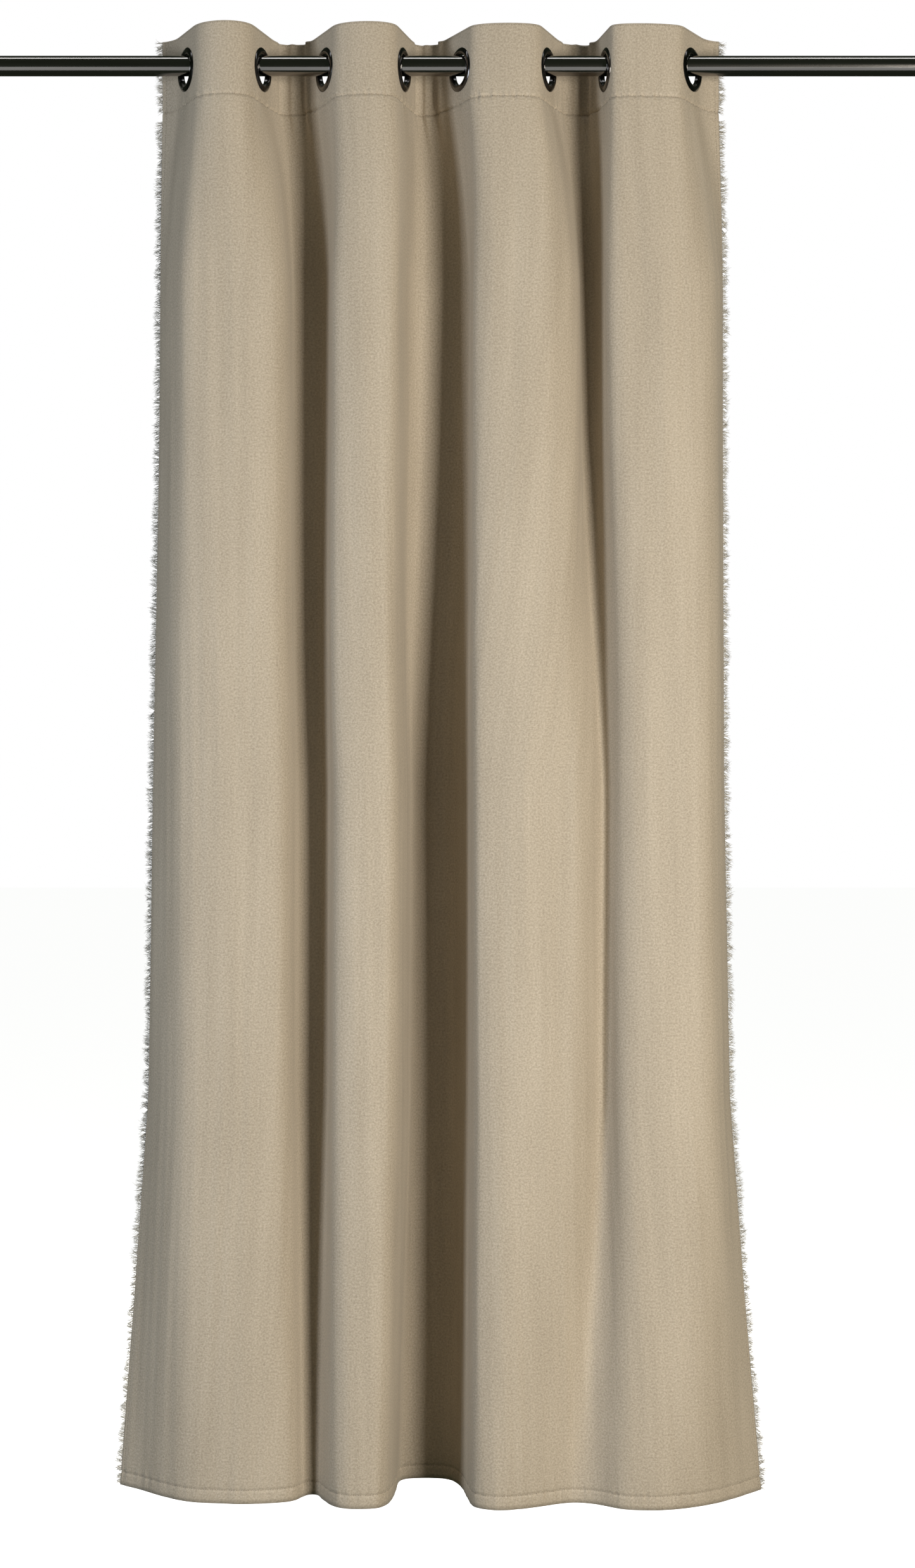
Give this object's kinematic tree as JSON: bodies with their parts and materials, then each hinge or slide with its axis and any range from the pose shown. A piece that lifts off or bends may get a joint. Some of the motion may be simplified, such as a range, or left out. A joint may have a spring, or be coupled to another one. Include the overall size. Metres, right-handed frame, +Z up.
{
  "type": "eyelet curtain on a rod",
  "caption": "Velvet curtain panel that hangs by metal eyelets in deep soft folds on a round tube rod held by two wall brackets.",
  "frame": {"origin": "on the wall, at the middle of the rectangle of the four wall screws, midway between the brackets and level with the rod's axis", "axes": "+X along the rod to the right as seen from the room, +Y into the wall, +Z up; the room is towards -Y"},
  "size_m": [1.616, 0.2133, 2.2],
  "materials": {
    "velvet": "matte",
    "fringe": "matte",
    "stiffener": "matte",
    "rod_metal": "satin",
    "bracket_metal": "satin",
    "screw_steel": "satin",
    "eyelet_metal": "gloss"
  },
  "bodies": {
    "rod_and_brackets": {"rod_tube": "rod_metal", "left_end_cap": "bracket_metal", "left_wall_plate": "bracket_metal", "left_bracket_arm": "bracket_metal", "left_rod_cradle": "bracket_metal", "right_end_cap": "bracket_metal", "right_wall_plate": "bracket_metal", "right_bracket_arm": "bracket_metal", "right_rod_cradle": "bracket_metal", "end_cap_grub_screws": "screw_steel", "bracket_arm_bolts": "screw_steel", "rod_lock_screws": "screw_steel", "arm_grub_screws": "screw_steel"},
    "curtain": {"curtain_panel": "velvet", "heading_stiffener": "stiffener", "heading_facing": "velvet", "bottom_hem_facing": "velvet", "left_side_hem": "velvet", "right_side_hem": "velvet", "left_fringe": "fringe", "right_fringe": "fringe", "eyelet_1_front": "eyelet_metal", "eyelet_1_back": "eyelet_metal"},
    "eyelet_2": {"eyelet_2_front": "eyelet_metal", "eyelet_2_back": "eyelet_metal"},
    "eyelet_3": {"eyelet_3_front": "eyelet_metal", "eyelet_3_back": "eyelet_metal"},
    "eyelet_4": {"eyelet_4_front": "eyelet_metal", "eyelet_4_back": "eyelet_metal"},
    "eyelet_5": {"eyelet_5_front": "eyelet_metal", "eyelet_5_back": "eyelet_metal"},
    "eyelet_6": {"eyelet_6_front": "eyelet_metal", "eyelet_6_back": "eyelet_metal"},
    "eyelet_7": {"eyelet_7_front": "eyelet_metal", "eyelet_7_back": "eyelet_metal"},
    "eyelet_8": {"eyelet_8_front": "eyelet_metal", "eyelet_8_back": "eyelet_metal"}
  },
  "joints": [
    {"name": "curtain_slide", "type": "slide", "parent": "rod_and_brackets", "child": "curtain", "axis": [1, 0, 0], "range_m": [-0.25, 0.3]},
    {"name": "curtain_draw", "type": "slide", "parent": "curtain", "child": "eyelet_8", "axis": [-1, 0, 0], "range_m": [0, 0.45], "deforming": ["curtain_panel", "heading_stiffener", "heading_facing", "bottom_hem_facing", "left_side_hem", "right_side_hem", "left_fringe", "right_fringe"]},
    {"name": "eyelet_2_slide", "type": "slide", "parent": "curtain", "child": "eyelet_2", "axis": [-1, 0, 0], "range_m": [0, 0.06758]},
    {"name": "eyelet_3_slide", "type": "slide", "parent": "curtain", "child": "eyelet_3", "axis": [-1, 0, 0], "range_m": [0, 0.12465]},
    {"name": "eyelet_4_slide", "type": "slide", "parent": "curtain", "child": "eyelet_4", "axis": [-1, 0, 0], "range_m": [0, 0.1936]},
    {"name": "eyelet_5_slide", "type": "slide", "parent": "curtain", "child": "eyelet_5", "axis": [-1, 0, 0], "range_m": [0, 0.24532]},
    {"name": "eyelet_6_slide", "type": "slide", "parent": "curtain", "child": "eyelet_6", "axis": [-1, 0, 0], "range_m": [0, 0.3226]},
    {"name": "eyelet_7_slide", "type": "slide", "parent": "curtain", "child": "eyelet_7", "axis": [-1, 0, 0], "range_m": [0, 0.37491]}
  ],
  "couplings": [
    {"joint": "eyelet_2_slide", "follows": "curtain_draw", "ratio": 0.14795},
    {"joint": "eyelet_3_slide", "follows": "curtain_draw", "ratio": 0.27477},
    {"joint": "eyelet_4_slide", "follows": "curtain_draw", "ratio": 0.42801},
    {"joint": "eyelet_5_slide", "follows": "curtain_draw", "ratio": 0.54293},
    {"joint": "eyelet_6_slide", "follows": "curtain_draw", "ratio": 0.71466},
    {"joint": "eyelet_7_slide", "follows": "curtain_draw", "ratio": 0.83091}
  ]
}
